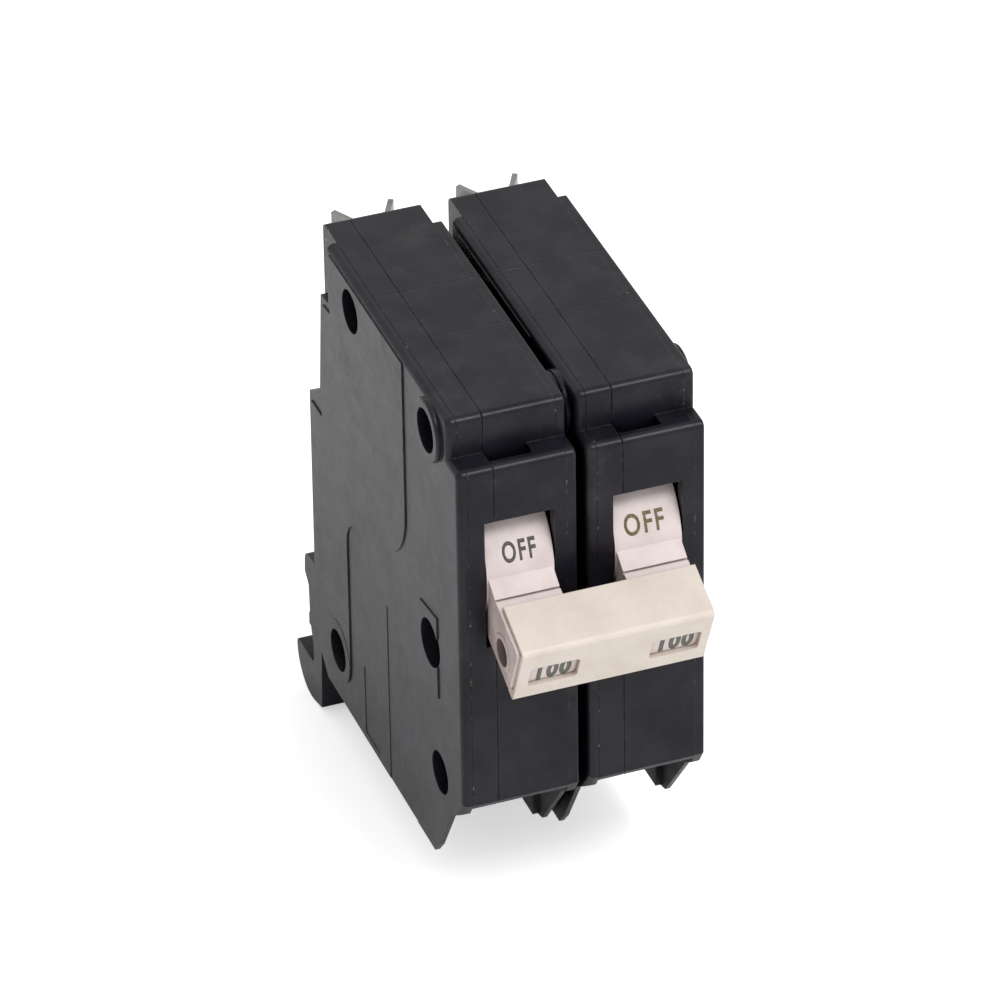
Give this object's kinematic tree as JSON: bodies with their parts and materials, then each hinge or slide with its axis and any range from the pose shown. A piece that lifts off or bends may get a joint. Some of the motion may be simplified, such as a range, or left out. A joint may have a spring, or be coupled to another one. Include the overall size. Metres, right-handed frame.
{
  "type": "plug-on circuit breaker",
  "caption": "Plug-on miniature circuit breaker with tied toggle handles, thermal-magnetic trip, rear stab jaws and rail hooks.",
  "frame": {"origin": "seat of the rail hooks, midway between the poles", "axes": "+Z points at the end with the stab jaws, +Y into the panel, +X across the poles; the handles are on the -Y face"},
  "size_m": [0.0382, 0.0852, 0.0875],
  "materials": {
    "case_black": "semi-matt moulded phenolic, slight blue cast, scuffed",
    "handle_white": "satin off-white moulded plastic",
    "tie_beige": "satin warm off-white moulded plastic",
    "steel": "plain steel, lightly oiled",
    "zinc_steel": "bright zinc-plated steel",
    "copper": "bare copper",
    "tinned_copper": "tinned copper",
    "silver": "silver contact alloy",
    "bimetal_strip": "rolled bimetal strip",
    "fibre": "red-brown vulcanised fibre",
    "trip_bar_plastic": "moulded nylon",
    "braid": "stranded bare copper"
  },
  "bodies": {
    "case": {"case_rivets": "zinc_steel", "left_base_shell": "case_black", "left_cover_shell": "case_black", "left_fixed_contact": "silver", "left_line_strip": "copper", "left_line_jaw": "tinned_copper", "left_jaw_spring": "steel", "left_arc_plates": "steel", "left_arc_frame": "fibre", "left_magnet_yoke": "steel", "left_bimetal": "bimetal_strip", "left_calibration_screw": "zinc_steel", "left_load_strap": "copper", "left_flexible_braid": "braid", "left_terminal_plate": "zinc_steel", "right_base_shell": "case_black", "right_cover_shell": "case_black", "right_fixed_contact": "silver", "right_line_strip": "copper", "right_line_jaw": "tinned_copper", "right_jaw_spring": "steel", "right_arc_plates": "steel", "right_arc_frame": "fibre", "right_magnet_yoke": "steel", "right_bimetal": "bimetal_strip", "right_calibration_screw": "zinc_steel", "right_load_strap": "copper", "right_flexible_braid": "braid", "right_terminal_plate": "zinc_steel"},
    "handles": {"left_handle": "handle_white", "right_handle": "handle_white", "handle_tie_cap": "tie_beige", "handle_tie_pin": "zinc_steel"},
    "left_contact_arm": {"left_contact_arm": "copper", "left_moving_contact": "silver"},
    "left_cradle": {"left_trip_cradle": "steel", "left_toggle_spring": "zinc_steel"},
    "left_armature": {"left_armature": "steel"},
    "left_clamp": {"left_pressure_plate": "zinc_steel"},
    "left_screw": {"left_terminal_screw": "zinc_steel"},
    "right_contact_arm": {"right_contact_arm": "copper", "right_moving_contact": "silver"},
    "right_cradle": {"right_trip_cradle": "steel", "right_toggle_spring": "zinc_steel"},
    "right_armature": {"right_armature": "steel"},
    "right_clamp": {"right_pressure_plate": "zinc_steel"},
    "right_screw": {"right_terminal_screw": "zinc_steel"},
    "trip_bar": {"common_trip_bar": "trip_bar_plastic"}
  },
  "joints": [
    {"name": "handle_throw", "type": "hinge", "parent": "case", "child": "handles", "pos_m": [0, -0.0554, 0.05345], "axis": [-1, 0, 0], "range_deg": [0, 47.2]},
    {"name": "left_arm_swing", "type": "hinge", "parent": "handles", "child": "left_contact_arm", "pos_m": [-0.00953, -0.04899, 0.05625], "axis": [1, 0, 0], "range_deg": [0, 71.2]},
    {"name": "left_cradle_release", "type": "hinge", "parent": "case", "child": "left_cradle", "pos_m": [-0.00953, -0.0414, 0.03005], "axis": [1, 0, 0], "range_deg": [0, 30], "deforming": ["left_toggle_spring"]},
    {"name": "left_armature_pull", "type": "hinge", "parent": "case", "child": "left_armature", "pos_m": [-0.00953, -0.0222, 0.04225], "axis": [1, 0, 0], "range_deg": [0, 2.5]},
    {"name": "left_clamp_travel", "type": "slide", "parent": "case", "child": "left_clamp", "axis": [0, 0.7071, 0.7071], "range_m": [0, 0.0023]},
    {"name": "left_screw_turn", "type": "hinge", "parent": "left_clamp", "child": "left_screw", "pos_m": [-0.00953, -0.0394, 0.01345], "axis": [0, 0.7071, 0.7071], "range_deg": [0, 1036]},
    {"name": "right_arm_swing", "type": "hinge", "parent": "handles", "child": "right_contact_arm", "pos_m": [0.00953, -0.04899, 0.05625], "axis": [1, 0, 0], "range_deg": [0, 71.2]},
    {"name": "right_cradle_release", "type": "hinge", "parent": "case", "child": "right_cradle", "pos_m": [0.00953, -0.0414, 0.03005], "axis": [1, 0, 0], "range_deg": [0, 30], "deforming": ["right_toggle_spring"]},
    {"name": "right_armature_pull", "type": "hinge", "parent": "case", "child": "right_armature", "pos_m": [0.00953, -0.0222, 0.04225], "axis": [1, 0, 0], "range_deg": [0, 2.5]},
    {"name": "right_clamp_travel", "type": "slide", "parent": "case", "child": "right_clamp", "axis": [0, 0.7071, 0.7071], "range_m": [0, 0.0023]},
    {"name": "right_screw_turn", "type": "hinge", "parent": "right_clamp", "child": "right_screw", "pos_m": [0.00953, -0.0394, 0.01345], "axis": [0, 0.7071, 0.7071], "range_deg": [0, 1036]},
    {"name": "common_trip", "type": "hinge", "parent": "case", "child": "trip_bar", "pos_m": [0, -0.0284, 0.02505], "axis": [-1, 0, 0], "range_deg": [0, 10]}
  ],
  "couplings": [
    {"joint": "left_arm_swing", "follows": "handle_throw", "ratio": 1.5085},
    {"joint": "left_screw_turn", "follows": "left_clamp_travel", "rad_per_m": 7854},
    {"joint": "right_arm_swing", "follows": "handle_throw", "ratio": 1.5085},
    {"joint": "right_screw_turn", "follows": "right_clamp_travel", "rad_per_m": 7854},
    {"joint": "right_cradle_release", "follows": "left_cradle_release", "ratio": 1},
    {"joint": "common_trip", "follows": "left_cradle_release", "ratio": 0.33333}
  ]
}
